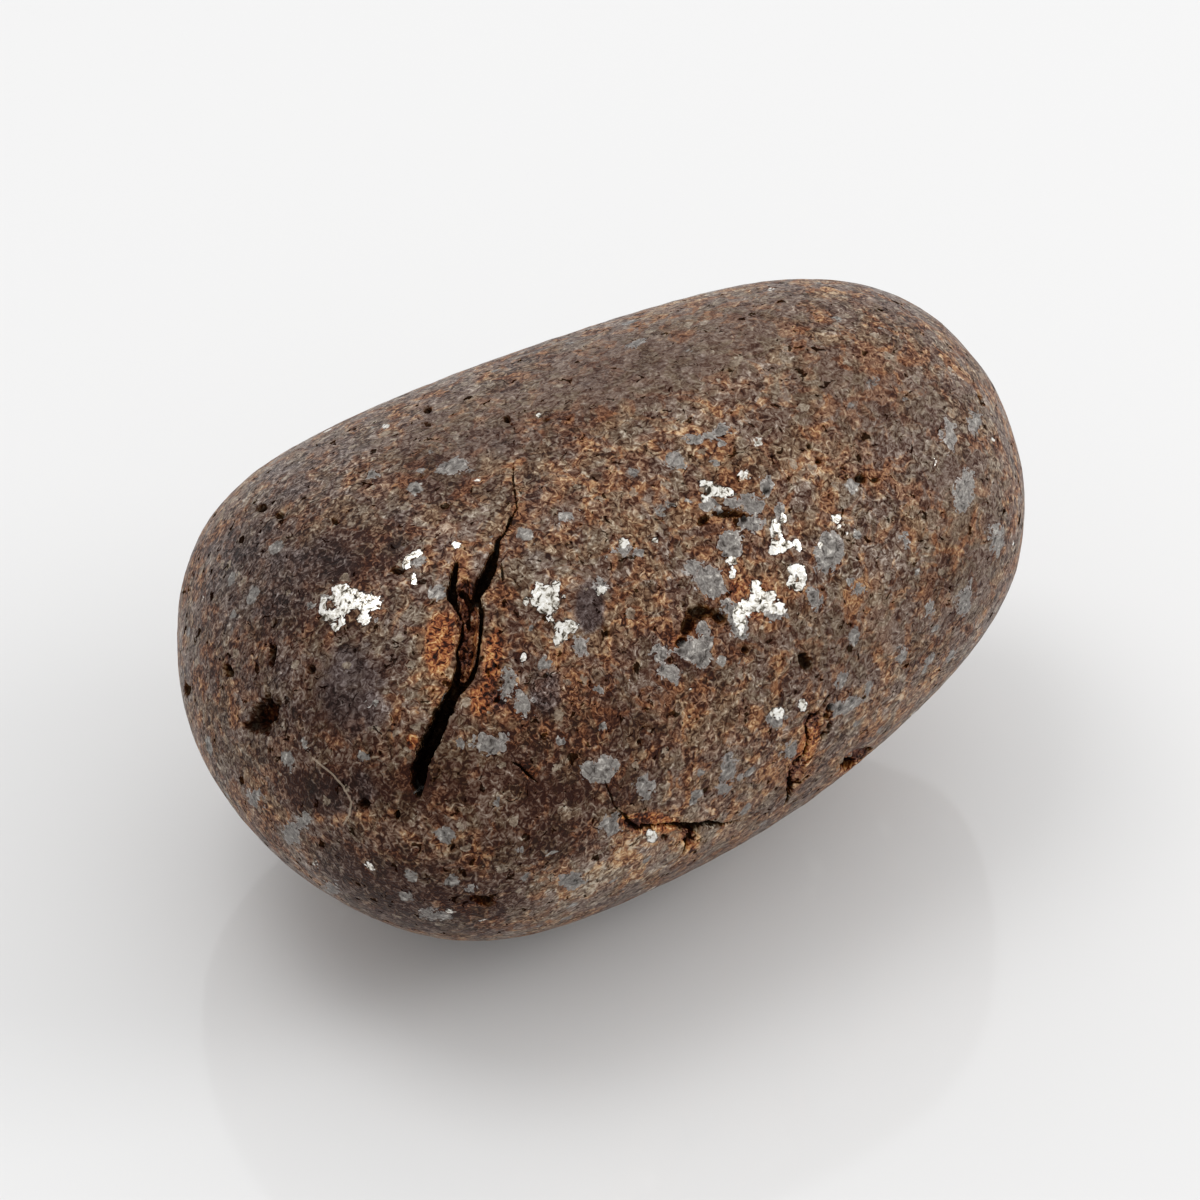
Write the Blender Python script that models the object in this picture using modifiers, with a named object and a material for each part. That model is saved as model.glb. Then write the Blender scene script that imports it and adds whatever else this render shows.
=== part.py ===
"""A tumbled meteorite: one stony pebble, ground smooth in a tumbler, with open cracks and plucked pits.

The stone lies on its long axis along X, and stands on a small worn flat under its centre of mass.
The origin is at the middle of its box, on the surface that it rests on.
"""

import math

import bmesh
import bpy
from mathutils import Matrix, Vector
from mathutils.bvhtree import BVHTree

MM = 0.001

# Driving dimensions of the whole stone, in millimetres.
LENGTH = 28.0
WIDTH = 18.4
HEIGHT = 16.6
# How much of the round underside is worn away to the flat that it rests on.
FOOT_CUT = 0.12
# The thickness of the slab that cuts the flat, all of it below the floor.
FOOT_SLAB = 1.0
# The height of the stone's long axis, from which places on its surface are measured.
AXIS_HEIGHT = 8.3

# The soft form is a cage of eight points round each of six stations, with a pole at each end.
# A station gives, in millimetres: its place along the stone, how far back and how far up its middle lies,
# its half width and its half height.
STATIONS = (
    (-11.6, -1.0, 0.0, 9.1, 6.0),
    (-7.6, -0.8, -0.6, 10.4, 8.3),
    (-2.6, -0.4, -0.4, 10.0, 9.0),
    (2.6, -0.1, -0.1, 9.0, 9.4),
    (7.6, 0.1, 0.9, 7.7, 8.5),
    (11.6, 0.2, 1.5, 6.2, 5.5),
)
LEFT_POLE = (-15.3, -0.5, -1.0)
RIGHT_POLE = (15.2, 3.2, -0.3)
POINTS_ROUND = 8
SUBDIVISIONS = 3

# The open cracks. Each point gives its place along the stone in millimetres, its turn in degrees from
# the front towards the top, and the width and depth of the crack there in millimetres.
CRACKS = {
    "long crack": (
        (-3.8, 90, 0.06, 0.15),
        (-4.5, 78, 0.10, 0.20),
        (-4.8, 71, 0.14, 0.25),
        (-5.6, 65, 0.16, 0.30),
        (-6.1, 61, 0.34, 0.60),
        (-6.7, 56, 0.38, 0.70),
        (-7.1, 51, 0.22, 0.50),
        (-7.5, 43, 0.16, 0.45),
        (-8.0, 37, 0.20, 0.60),
        (-8.8, 33, 0.36, 1.00),
        (-9.3, 30, 0.46, 1.40),
        (-9.8, 25, 0.52, 1.50),
        (-10.3, 20, 0.48, 1.30),
        (-10.4, 16, 0.34, 0.80),
    ),
    "left branch": (
        (-7.2, 62, 0.12, 0.30),
        (-7.4, 59, 0.22, 0.45),
        (-7.7, 54, 0.24, 0.45),
        (-7.7, 48, 0.16, 0.40),
        (-8.2, 42, 0.16, 0.40),
        (-8.6, 36, 0.16, 0.50),
    ),
    "short crack": (
        (-7.5, 17, 0.10, 0.20),
        (-7.1, 14, 0.14, 0.25),
        (-6.8, 12, 0.06, 0.15),
    ),
    "lower crack": (
        (-4.2, -3, 0.08, 0.20),
        (-3.2, -7, 0.16, 0.35),
        (-2.5, -10, 0.20, 0.45),
        (-1.7, -13, 0.22, 0.45),
        (-0.7, -18, 0.10, 0.25),
    ),
    "right fissure": (
        (3.0, 5, 0.10, 0.20),
        (2.6, 1, 0.16, 0.30),
        (2.2, -1, 0.20, 0.35),
        (2.2, -6, 0.20, 0.40),
        (2.0, -12, 0.26, 0.50),
        (1.9, -18, 0.34, 0.60),
        (1.9, -26, 0.14, 0.30),
    ),
    "back crack": (
        (1.5, 128, 0.08, 0.20),
        (2.6, 136, 0.18, 0.40),
        (3.1, 147, 0.26, 0.60),
        (4.4, 155, 0.20, 0.50),
        (5.0, 163, 0.08, 0.20),
    ),
}
# How far a crack's cutter stands out of the surface, and how much it has narrowed at its bottom.
CRACK_LIFT = 0.3
CRACK_BOTTOM_SHARE = 0.35

# The pits where grains were plucked out. Each gives its place along the stone in millimetres and its turn
# in degrees, its length, width and depth in millimetres, and the turn of its length from the stone's length.
PITS = (
    (-13.0, 40, 1.30, 0.90, 0.35, 60),
    (-12.4, 64, 0.90, 0.30, 0.25, 80),
    (-13.2, 83, 0.60, 0.35, 0.20, 70),
    (-10.5, 123, 0.50, 0.30, 0.20, 30),
    (-10.4, 113, 0.35, 0.30, 0.20, 0),
    (-5.2, 114, 0.40, 0.35, 0.22, 20),
    (-3.5, 98, 0.35, 0.28, 0.20, 70),
    (-11.8, 50, 0.45, 0.25, 0.20, 40),
    (-11.2, 11, 0.50, 0.35, 0.25, 20),
    (-8.9, -12, 1.00, 0.60, 0.25, 10),
    (-2.0, -18, 0.90, 0.50, 0.45, 70),
    (5.4, 53, 0.50, 0.40, 0.25, 30),
    (2.2, 16, 0.55, 0.30, 0.22, 65),
    (3.0, -3, 0.45, 0.28, 0.25, 75),
    (4.5, -24, 1.20, 0.70, 0.40, 20),
    (-8.0, 172, 0.90, 0.60, 0.30, 35),
    (-4.6, -152, 0.60, 0.40, 0.25, 80),
    (0.8, 178, 0.45, 0.35, 0.22, 10),
    (7.2, -170, 0.80, 0.45, 0.28, 55),
    (8.8, 118, 0.45, 0.35, 0.22, 25),
    (10.9, 70, 0.60, 0.35, 0.22, 75),
    (11.8, -8, 0.70, 0.50, 0.28, 40),
    (3.4, -118, 0.90, 0.50, 0.30, 15),
    (-5.6, -62, 0.70, 0.45, 0.28, 60),
)
PIT_ROUNDNESS = 2

STONE_COLOUR = (0.120, 0.082, 0.062, 1.0)
STONE_ROUGHNESS = 0.45


def clear_scene():
    for obj in list(bpy.data.objects):
        bpy.data.objects.remove(obj, do_unlink=True)


def new_collection(name):
    collection = bpy.data.collections.new(name)
    bpy.context.scene.collection.children.link(collection)
    return collection


def new_object(name, bm, collection):
    mesh = bpy.data.meshes.new(name)
    bm.to_mesh(mesh)
    bm.free()
    obj = bpy.data.objects.new(name, mesh)
    collection.objects.link(obj)
    return obj


def new_cutter(name, bm, collection):
    bmesh.ops.recalc_face_normals(bm, faces=bm.faces)
    cutter = new_object(name, bm, collection)
    cutter.hide_render = True
    cutter.display_type = "WIRE"


def stone_material():
    material = bpy.data.materials.new("meteorite stone")
    material.use_nodes = True
    shader = material.node_tree.nodes["Principled BSDF"]
    shader.inputs["Base Color"].default_value = STONE_COLOUR
    shader.inputs["Roughness"].default_value = STONE_ROUGHNESS
    shader.inputs["Metallic"].default_value = 0.0
    return material


def cage_point(direction):
    """Where a point of the unit ring cage goes on the stone's own cage, in millimetres."""
    rings = len(STATIONS) + 1
    ring = round(math.acos(max(-1.0, min(1.0, -direction.x))) * rings / math.pi)
    if ring == 0:
        return Vector(LEFT_POLE)
    if ring == rings:
        return Vector(RIGHT_POLE)
    along, back, up, half_width, half_height = STATIONS[ring - 1]
    turn = math.atan2(direction.z, direction.y)
    return Vector((along, back + half_width * math.cos(turn), up + half_height * math.sin(turn)))


def soft_box(obj):
    """The lowest and highest corners of the object with its modifiers."""
    bpy.context.view_layer.update()
    evaluated = obj.evaluated_get(bpy.context.evaluated_depsgraph_get())
    places = [vertex.co for vertex in evaluated.data.vertices]
    low = Vector([min(place[i] for place in places) for i in range(3)])
    high = Vector([max(place[i] for place in places) for i in range(3)])
    return low, high


def make_stone(collection):
    """The tumbled form, fitted to the driving dimensions, with its underside just below the floor."""
    bm = bmesh.new()
    to_x = Matrix.Rotation(math.pi / 2, 4, "Y")
    bmesh.ops.create_uvsphere(
        bm, u_segments=POINTS_ROUND, v_segments=len(STATIONS) + 1, radius=1.0, matrix=to_x
    )
    for vertex in bm.verts:
        vertex.co = cage_point(vertex.co) * MM
    stone = new_object("meteorite", bm, collection)
    soft_form = stone.modifiers.new("soft form", "SUBSURF")
    soft_form.levels = SUBDIVISIONS
    soft_form.render_levels = SUBDIVISIONS
    low, high = soft_box(stone)
    size = high - low
    wanted = Vector((LENGTH, WIDTH, HEIGHT + FOOT_CUT)) * MM
    scale = Matrix.Diagonal([wanted[i] / size[i] for i in range(3)]).to_4x4()
    middle = Vector(((low.x + high.x) / 2, (low.y + high.y) / 2, low.z))
    to_floor = Matrix.Translation((0, 0, -FOOT_CUT * MM)) @ scale @ Matrix.Translation(-middle)
    stone.data.transform(to_floor)
    stone.data.shade_smooth()
    stone.data.materials.append(stone_material())
    return stone


def surface_of(stone):
    bpy.context.view_layer.update()
    return BVHTree.FromObject(stone, bpy.context.evaluated_depsgraph_get())


def place_on(surface, along, turn):
    """The point of the surface at this place along the stone and this turn, and the way it faces."""
    outward = Vector((0, -math.cos(math.radians(turn)), math.sin(math.radians(turn))))
    place, normal, _, _ = surface.ray_cast(Vector((along, 0, AXIS_HEIGHT)) * MM, outward)
    return place, normal


def make_crack(name, points, surface, collection):
    """A thin blade that follows a crack over the surface, wider at its mouth than at its bottom."""
    placed = [place_on(surface, along, turn) for along, turn, _, _ in points]
    bm = bmesh.new()
    sections = []
    for i, (_, _, width, depth) in enumerate(points):
        place, normal = placed[i]
        before = placed[max(i - 1, 0)][0]
        after = placed[min(i + 1, len(placed) - 1)][0]
        side = (after - before).cross(normal).normalized() * width * MM / 2
        mouth = place + normal * CRACK_LIFT * MM
        bottom = place - normal * depth * MM
        inner = side * CRACK_BOTTOM_SHARE
        corners = (mouth - side, mouth + side, bottom + inner, bottom - inner)
        sections.append([bm.verts.new(corner) for corner in corners])
    for near, far in zip(sections, sections[1:]):
        for i in range(len(near)):
            bm.faces.new((near[i - 1], near[i], far[i], far[i - 1]))
    bm.faces.new(sections[0])
    bm.faces.new(sections[-1])
    new_cutter(name, bm, collection)


def make_pit(name, pit, surface, collection):
    """A half-sunk ellipsoid where a grain was plucked out."""
    along, turn, length, width, depth, lean = pit
    place, normal = place_on(surface, along, turn)
    lengthwise = Vector((1, 0, 0)) - normal * normal.x
    lengthwise.rotate(Matrix.Rotation(math.radians(lean), 3, normal))
    lengthwise.normalize()
    axes = Matrix((lengthwise, normal.cross(lengthwise), normal)).transposed().to_4x4()
    half_sizes = Matrix.Diagonal(Vector((length / 2, width / 2, depth)) * MM).to_4x4()
    bm = bmesh.new()
    bmesh.ops.create_icosphere(bm, subdivisions=PIT_ROUNDNESS, radius=1.0)
    bmesh.ops.transform(bm, matrix=Matrix.Translation(place) @ axes @ half_sizes, verts=bm.verts)
    new_cutter(name, bm, collection)


def make_foot(collection):
    """The slab under the floor that wears the resting flat."""
    bm = bmesh.new()
    bmesh.ops.create_cube(bm, size=1.0)
    slab = Matrix.Diagonal(Vector((LENGTH, WIDTH, FOOT_SLAB)) * MM).to_4x4()
    below = Matrix.Translation((0, 0, -FOOT_SLAB / 2 * MM))
    bmesh.ops.transform(bm, matrix=below @ slab, verts=bm.verts)
    new_cutter("resting flat", bm, collection)


clear_scene()
parts = new_collection("tumbled meteorite")
cutters = new_collection("cutters")
meteorite = make_stone(parts)
form = surface_of(meteorite)
for crack_name, crack_points in CRACKS.items():
    make_crack(crack_name, crack_points, form, cutters)
for number, pit_values in enumerate(PITS, 1):
    make_pit(f"pit {number}", pit_values, form, cutters)
make_foot(cutters)
openings = meteorite.modifiers.new("cracks, pits and resting flat", "BOOLEAN")
openings.operation = "DIFFERENCE"
openings.solver = "EXACT"
openings.operand_type = "COLLECTION"
openings.collection = cutters
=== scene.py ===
# %% [markdown]
# The tumbled meteorite, dressed for its picture
#
# The object is one pebble of stony meteorite, ground smooth in a tumbler. It is 28 mm long, so everything
# that the eye reads as "meteorite" is small: open cracks, plucked pits, rust, and grains of bright metal.
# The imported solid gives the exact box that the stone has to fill. This script builds the same stone again
# with far more detail, and lets it stand for the solid.

import math
import random

import bmesh
import bpy
import numpy as np
from mathutils import Matrix, Vector, noise
from mathutils.bvhtree import BVHTree


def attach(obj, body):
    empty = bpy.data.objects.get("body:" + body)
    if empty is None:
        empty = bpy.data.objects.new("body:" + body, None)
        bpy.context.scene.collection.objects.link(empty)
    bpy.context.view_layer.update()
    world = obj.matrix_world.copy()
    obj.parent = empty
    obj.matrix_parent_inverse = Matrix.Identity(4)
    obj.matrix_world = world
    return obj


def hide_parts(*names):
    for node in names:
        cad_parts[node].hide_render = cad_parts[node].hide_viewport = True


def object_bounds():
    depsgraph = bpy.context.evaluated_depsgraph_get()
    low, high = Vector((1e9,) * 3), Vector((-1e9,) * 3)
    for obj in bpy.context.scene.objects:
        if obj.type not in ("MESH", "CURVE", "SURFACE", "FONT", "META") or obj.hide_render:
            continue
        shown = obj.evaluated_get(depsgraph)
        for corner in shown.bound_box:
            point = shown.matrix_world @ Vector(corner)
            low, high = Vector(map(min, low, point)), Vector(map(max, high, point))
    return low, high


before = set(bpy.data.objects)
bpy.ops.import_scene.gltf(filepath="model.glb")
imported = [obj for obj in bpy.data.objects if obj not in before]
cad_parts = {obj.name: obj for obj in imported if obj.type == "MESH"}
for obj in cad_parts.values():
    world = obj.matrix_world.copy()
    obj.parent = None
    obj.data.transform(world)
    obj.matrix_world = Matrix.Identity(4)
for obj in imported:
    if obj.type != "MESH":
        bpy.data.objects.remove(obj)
solid_low, solid_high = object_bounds()
MM = 0.001
print("box of the solid, mm:", [round(v / MM, 2) for v in (*solid_low, *solid_high)])

# %% [markdown]
# The camera comes first, because the marks on the front of the stone are placed by where they are seen.
#
# A stone has no corners to measure from. Its cracks and grains are known by where they show in a square
# picture of 1200 by 1200 points. The camera below is the one that makes the stone's outline fall where it
# is seen, so a ray through a point of that picture meets the stone at the mark. The camera is a long lens
# from a low three-quarter angle, as a close-up of a small thing is taken.

# %% The camera
AIM = Vector((1.02, 4.07, 5.13)) * MM
VIEW_AZIMUTH = math.radians(-25.904)
VIEW_ELEVATION = math.radians(38.670)
VIEW_DISTANCE = 162.89 * MM
SENSOR = 36.0
LENS = 155.27
PICTURE = 1200

to_camera = Vector((
    math.sin(VIEW_AZIMUTH) * math.cos(VIEW_ELEVATION),
    -math.cos(VIEW_AZIMUTH) * math.cos(VIEW_ELEVATION),
    math.sin(VIEW_ELEVATION),
))
camera_place = AIM + to_camera * VIEW_DISTANCE
view_right = Vector((math.cos(VIEW_AZIMUTH), math.sin(VIEW_AZIMUTH), 0.0))
view_up = to_camera.cross(view_right)

camera = bpy.data.objects.new("camera", bpy.data.cameras.new("camera"))
camera.data.lens = LENS
camera.data.sensor_width = SENSOR
camera.data.clip_start = 10 * MM
camera.data.clip_end = 2000 * MM
camera.matrix_world = Matrix.Translation(camera_place) @ Matrix(
    (view_right, view_up, to_camera)
).transposed().to_4x4()
bpy.context.scene.collection.objects.link(camera)
bpy.context.scene.camera = camera
print("camera at, mm:", [round(v / MM, 1) for v in camera_place])


# %% A ray through a point of the picture
def picture_ray(across, down):
    focal = LENS / SENSOR * PICTURE
    ray = -to_camera + view_right * (across - PICTURE / 2) / focal - view_up * (down - PICTURE / 2) / focal
    return ray.normalized()


print("ray through the middle:", picture_ray(PICTURE / 2, PICTURE / 2))

# %% [markdown]
# The form of the stone.
#
# Tumbling leaves no edge: the pebble is one soft, slightly lopsided egg. Sculpting it by hand would be hard
# to repeat, and a stretched ball would be too regular. So a sphere of only eight points round and six rings
# is used as a cage, each ring is moved to its own width and height, and Subdivision Surface turns the cage
# into a smooth skin. The cage has the same values as the solid's, and the result is fitted to the solid's
# box, so the two agree.

# %% The cage of the stone
# Each ring: its place along the stone, how far back and up its middle lies, half width, half height (mm).
RINGS = (
    (-11.6, -1.0, 0.0, 9.1, 6.0),
    (-7.6, -0.8, -0.6, 10.4, 8.3),
    (-2.6, -0.4, -0.4, 10.0, 9.0),
    (2.6, -0.1, -0.1, 9.0, 9.4),
    (7.6, 0.1, 0.9, 7.7, 8.5),
    (11.6, 0.2, 1.5, 6.2, 5.5),
)
LEFT_END = (-15.3, -0.5, -1.0)
RIGHT_END = (15.2, 3.2, -0.3)
FOOT_WEAR = 0.12
SKIN_LEVELS = 5


def cage_point(direction):
    count = len(RINGS) + 1
    ring = round(math.acos(max(-1.0, min(1.0, -direction.x))) * count / math.pi)
    if ring == 0:
        return Vector(LEFT_END)
    if ring == count:
        return Vector(RIGHT_END)
    along, back, up, half_width, half_height = RINGS[ring - 1]
    turn = math.atan2(direction.z, direction.y)
    return Vector((along, back + half_width * math.cos(turn), up + half_height * math.sin(turn)))


bm = bmesh.new()
along_x = Matrix.Rotation(math.pi / 2, 4, "Y")
bmesh.ops.create_uvsphere(bm, u_segments=8, v_segments=len(RINGS) + 1, radius=1.0, matrix=along_x)
for vertex in bm.verts:
    vertex.co = cage_point(vertex.co) * MM
cage_mesh = bpy.data.meshes.new("cage")
bm.to_mesh(cage_mesh)
bm.free()
cage = bpy.data.objects.new("cage", cage_mesh)
bpy.context.scene.collection.objects.link(cage)
skin = cage.modifiers.new("skin", "SUBSURF")
skin.levels = SKIN_LEVELS
skin.render_levels = SKIN_LEVELS
bpy.context.view_layer.update()
stone_mesh = bpy.data.meshes.new_from_object(cage.evaluated_get(bpy.context.evaluated_depsgraph_get()))
bpy.data.objects.remove(cage)
print("points in the smooth skin:", len(stone_mesh.vertices))


# %% Fit the skin to the solid's box
def points_of(mesh):
    """The places of a mesh's points as rows of three, in millimetres."""
    flat = np.empty(len(mesh.vertices) * 3, np.float32)
    mesh.vertices.foreach_get("co", flat)
    return flat.reshape(-1, 3).astype(float) / MM


skin_points = points_of(stone_mesh)
low, high = np.array(solid_low) / MM, np.array(solid_high) / MM
low[2] -= FOOT_WEAR
share = (skin_points - skin_points.min(0)) / (skin_points.max(0) - skin_points.min(0))
skin_points = low + share * (high - low)
stone_mesh.vertices.foreach_set("co", (skin_points * MM).astype(np.float32).ravel())
stone_mesh.update()
bm = bmesh.new()
bm.from_mesh(stone_mesh)
smooth_skin = BVHTree.FromBMesh(bm)
print("skin, mm:", (skin_points.max(0) - skin_points.min(0)).round(3))

# %% [markdown]
# Marks on the stone.
#
# Cracks, pits, metal grains and rust are all given the same way: a mark is an oval on the skin, or a line of
# ovals. On the front, a mark is named by its place in the picture, and the ray through that place finds the
# skin. Two small steps in the picture, laid on the tangent plane there, say which way "across" and "down"
# run on the stone, so that an oval keeps its shape on the slope that carries it. On the hidden sides a mark
# is named by its place along the stone and its turn round the long axis.

# %% Where a mark lies on the stone
POINT_SIZE = 0.0305
AXIS_HEIGHT = 8.3


def picture_mark(across, down):
    """Place, outward direction and the two steps of one picture point, in mm."""
    ray = picture_ray(across, down)
    place, normal, _, _ = smooth_skin.ray_cast(camera_place, ray)
    if place is None:
        return None
    steps = []
    for near in (picture_ray(across + 1, down), picture_ray(across, down + 1)):
        reach = (place - camera_place).dot(normal) / near.dot(normal)
        steps.append(np.array(camera_place + near * reach - place) / MM)
    return np.array(place) / MM, np.array(normal), steps[0], steps[1]


def turned_mark(along, turn):
    """The same for a mark given by its place along the stone and its turn from the front to the top."""
    outward = Vector((0, -math.cos(math.radians(turn)), math.sin(math.radians(turn))))
    place, normal, _, _ = smooth_skin.ray_cast(Vector((along, 0, AXIS_HEIGHT)) * MM, outward)
    lengthwise = (Vector((1, 0, 0)) - normal * normal.x).normalized()
    crosswise = normal.cross(lengthwise)
    return (
        np.array(place) / MM, np.array(normal),
        np.array(lengthwise) * POINT_SIZE, np.array(crosswise) * POINT_SIZE,
    )


print("middle of the picture meets the stone at, mm:", picture_mark(600, 600)[0].round(2))

# %% [markdown]
# The cracks.
#
# The stone cracked while it weathered, long before it was tumbled, so the cracks are open, irregular and
# packed with rust and dirt. The large one runs from the top of the stone to a black gash low on its left.
# A crack could be painted, but a real one has walls that catch the light, so each is a line of places with
# a width and a depth, and the skin is sunk along it later. The material also paints the cracks near black:
# partly the dirt packed in them, partly painted shade.

# %% Lines of the cracks: across, down and width in picture points, and depth in mm
CRACKS = {
    "hairline": (
        (514, 440, 1.2, 0.06), (513, 480, 1.6, 0.08), (517, 507, 2.0, 0.12), (510, 519, 3, 0.18),
        (505, 532, 3, 0.20), (498, 539, 4, 0.25), (497, 547, 6, 0.40),
    ),
    "upper opening": (
        (497, 547, 6, 0.40), (494, 553, 9, 0.50), (491, 566, 12, 0.70), (484, 578, 14, 0.80),
        (479, 589, 13, 0.70), (476, 597, 10, 0.50), (481, 606, 4, 0.40),
    ),
    "right branch": (
        (481, 606, 4, 0.40), (482, 618, 4, 0.45), (480, 641, 3.5, 0.45), (477, 663, 4, 0.45),
        (472, 677, 6, 0.50), (465, 684, 9, 0.60), (455, 692, 13, 0.80),
    ),
    "left branch": (
        (457, 562, 3, 0.30), (454, 572, 7, 0.50), (452, 584, 9, 0.55), (452, 596, 9, 0.55),
        (456, 606, 5, 0.50), (463, 618, 2.5, 0.45), (462, 634, 4, 0.50), (457, 650, 3, 0.45),
        (459, 663, 5, 0.50), (456, 678, 8, 0.60), (455, 692, 13, 0.80),
    ),
    "gash": (
        (455, 692, 11, 0.80), (449, 700, 15, 1.10), (442, 715, 16, 1.40), (435, 730, 17, 1.50),
        (429, 743, 17, 1.50), (424, 755, 17, 1.50), (419, 769, 17, 1.30), (417, 784, 13, 1.10),
        (418, 794, 8, 0.70),
    ),
    "rubble gap": ((462, 590, 8, 0.45), (471, 600, 7, 0.50), (470, 610, 3, 0.40), (468, 622, 5, 0.45)),
    "side hairline": ((501, 558, 1.6, 0.08), (502, 570, 2, 0.10), (503, 584, 1.4, 0.06)),
    "short crack": (
        (512, 762, 1.5, 0.08), (520, 766, 2.5, 0.16), (528, 774, 3, 0.20), (538, 783, 1.5, 0.08),
    ),
    "lower crack": (
        (605, 781, 1.2, 0.06), (611, 795, 2, 0.10), (616, 808, 2, 0.12), (626, 816, 2.5, 0.16),
        (633, 826, 3.5, 0.20), (641, 831, 4.5, 0.25), (650, 828, 5, 0.30), (666, 826, 5, 0.35),
        (680, 826, 8, 0.40), (693, 829, 13, 0.50), (706, 825, 10, 0.40), (723, 825, 5, 0.25),
        (738, 821, 1.5, 0.10),
    ),
    "lower notch": (
        (699, 829, 14, 0.50), (693, 837, 14, 0.50), (689, 846, 9, 0.40), (684, 854, 4, 0.25),
        (677, 860, 2, 0.12),
    ),
    "right fissure": (
        (829, 697, 3, 0.20), (825, 704, 5, 0.25), (819, 713, 4, 0.25), (813, 718, 6, 0.30),
        (808, 728, 7, 0.35), (809, 738, 4, 0.25), (808, 747, 5, 0.3), (805, 755, 7, 0.40),
        (801, 763, 7, 0.45), (795, 773, 6, 0.45), (792, 782, 8, 0.50), (793, 788, 8, 0.5),
        (790, 794, 6, 0.45), (785, 806, 4, 0.25),
    ),
    "right fork": ((793, 788, 5, 0.40), (802, 782, 6, 0.40), (808, 777, 4, 0.25)),
}
# The crack on the hidden back: place along in mm, turn in degrees, width in mm and depth in mm.
BACK_CRACK = (
    (1.5, 128, 0.08, 0.20), (2.6, 136, 0.18, 0.40), (3.1, 147, 0.26, 0.60),
    (4.4, 155, 0.20, 0.50), (5.0, 163, 0.08, 0.20),
)


def crack_line(rows):
    """Rows of x, y, z, half width and depth in mm, from picture places."""
    line = []
    for across, down, width, depth in rows:
        place = picture_mark(across, down)[0]
        line.append((*place, width * POINT_SIZE / 2, depth))
    return np.array(line)


crack_lines = {name: crack_line(rows) for name, rows in CRACKS.items()}
crack_lines["back crack"] = np.array([
    (*turned_mark(along, turn)[0], width / 2, depth) for along, turn, width, depth in BACK_CRACK
])
for name, line in crack_lines.items():
    steps = np.linalg.norm(np.diff(line[:, :3], axis=0), axis=1)
    print(f"{name}: {steps.sum():.1f} mm long, {line[:, 4].max():.2f} mm deep")

# %% Two pale lines, given like cracks without depth: a fibre of lint, and the fresh lip of a chip
LINT = ((312, 758), (323, 767), (332, 774), (343, 787), (351, 802), (349, 815), (343, 825))
LINT_WIDTH = 0.2
CHIP_LIP = ((834, 776), (843, 767), (853, 758), (864, 748), (876, 740))
CHIP_LIP_WIDTH = 3.0
pale_lines = [
    crack_line([(across, down, width, 0.0) for across, down in line])
    for line, width in ((LINT, LINT_WIDTH), (CHIP_LIP, CHIP_LIP_WIDTH))
]
print("points of the pale lines:", [len(line) for line in pale_lines])

# %% [markdown]
# Pits.
#
# Where tumbling tears out a weak grain it leaves a small ragged hole, and soft rusty spots wear down into
# shallow dimples. The pits that show are placed as seen. The ones on the far sides are guesses of the same
# kind, since a pebble is pitted all over.

# %% Pits: across, down, half length and half width in picture points, lean in degrees, depth in mm
PITS = (
    (262, 716, 23, 15, -60, 0.38), (250, 726, 9, 7, 0, 0.25), (272, 655, 4, 14, 8, 0.25),
    (228, 670, 8, 5, 70, 0.20), (262, 508, 7, 4, -30, 0.20), (279, 515, 5, 4, 0, 0.20),
    (427, 409, 5, 4, 0, 0.2), (428, 424, 4, 3, 0, 0.15), (507, 418, 5, 4, 60, 0.2),
    (311, 669, 5, 6, 0, 0.18), (860, 478, 6, 5, 0, 0.22), (875, 480, 4, 3, 0, 0.15),
    (806, 663, 8, 12, -25, 0.22), (397, 815, 3.5, 6, 10, 0.25), (364, 804, 6, 5, 0, 0.25),
    (484, 902, 14, 5, 10, 0.22), (186, 690, 5, 7, 0, 0.10), (665, 838, 4, 3, 0, 0.15),
    (729, 514, 17, 4, 4, 0.16), (744, 518, 4, 5, 0, 0.12), (703, 520, 9, 5, -40, 0.16),
    (702, 612, 17, 8, 0, 0.30), (720, 618, 9, 6, 25, 0.24), (688, 626, 7, 13, 20, 0.24),
    (681, 642, 5, 8, 40, 0.14), (830, 709, 3.5, 5, 25, 0.2), (827, 717, 3.5, 4, 0, 0.2),
    (830, 727, 3, 5, 0, 0.18), (824, 735, 3, 4, 40, 0.18), (851, 766, 10, 5, -32, 0.35),
    (870, 750, 3, 3, 0, 0.15), (766, 491, 4, 3, 0, 0.12), (809, 446, 3, 3, 0, 0.12),
    (818, 461, 3, 2.5, 0, 0.12), (335, 522, 3, 3, 0, 0.1), (640, 742, 3, 3, 0, 0.12),
    (745, 650, 4, 4, 0, 0.12), (607, 633, 3, 4, 0, 0.12), (311, 670, 2.5, 5, 0, 0.15),
    (497, 700, 5, 3, -50, 0.15), (398, 570, 10, 4, 0, 0.10), (545, 420, 3, 2, 0, 0.1),
)
# On the hidden sides: place along in mm, turn in degrees, length and width in mm, lean, depth in mm.
HIDDEN_PITS = (
    (-8.0, 172, 0.90, 0.60, 35, 0.30), (-4.6, -152, 0.60, 0.40, 80, 0.25),
    (0.8, 178, 0.45, 0.35, 10, 0.22), (7.2, -170, 0.80, 0.45, 55, 0.28),
    (8.8, 118, 0.45, 0.35, 25, 0.22), (10.9, 70, 0.60, 0.35, 75, 0.22),
    (11.8, -8, 0.70, 0.50, 40, 0.28), (3.4, -118, 0.90, 0.50, 15, 0.30),
    (-5.6, -62, 0.70, 0.45, 60, 0.28),
)


def oval(mark, half_length, half_width, lean):
    """An oval on the skin: its place, the two steps from it to its rim, and its smaller half in mm."""
    place, _, across, down = mark
    turn = math.radians(lean)
    long_way = (across * math.cos(turn) + down * math.sin(turn)) * half_length
    short_way = (down * math.cos(turn) - across * math.sin(turn)) * half_width
    return place, long_way, short_way, min(half_length, half_width) * POINT_SIZE


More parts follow.
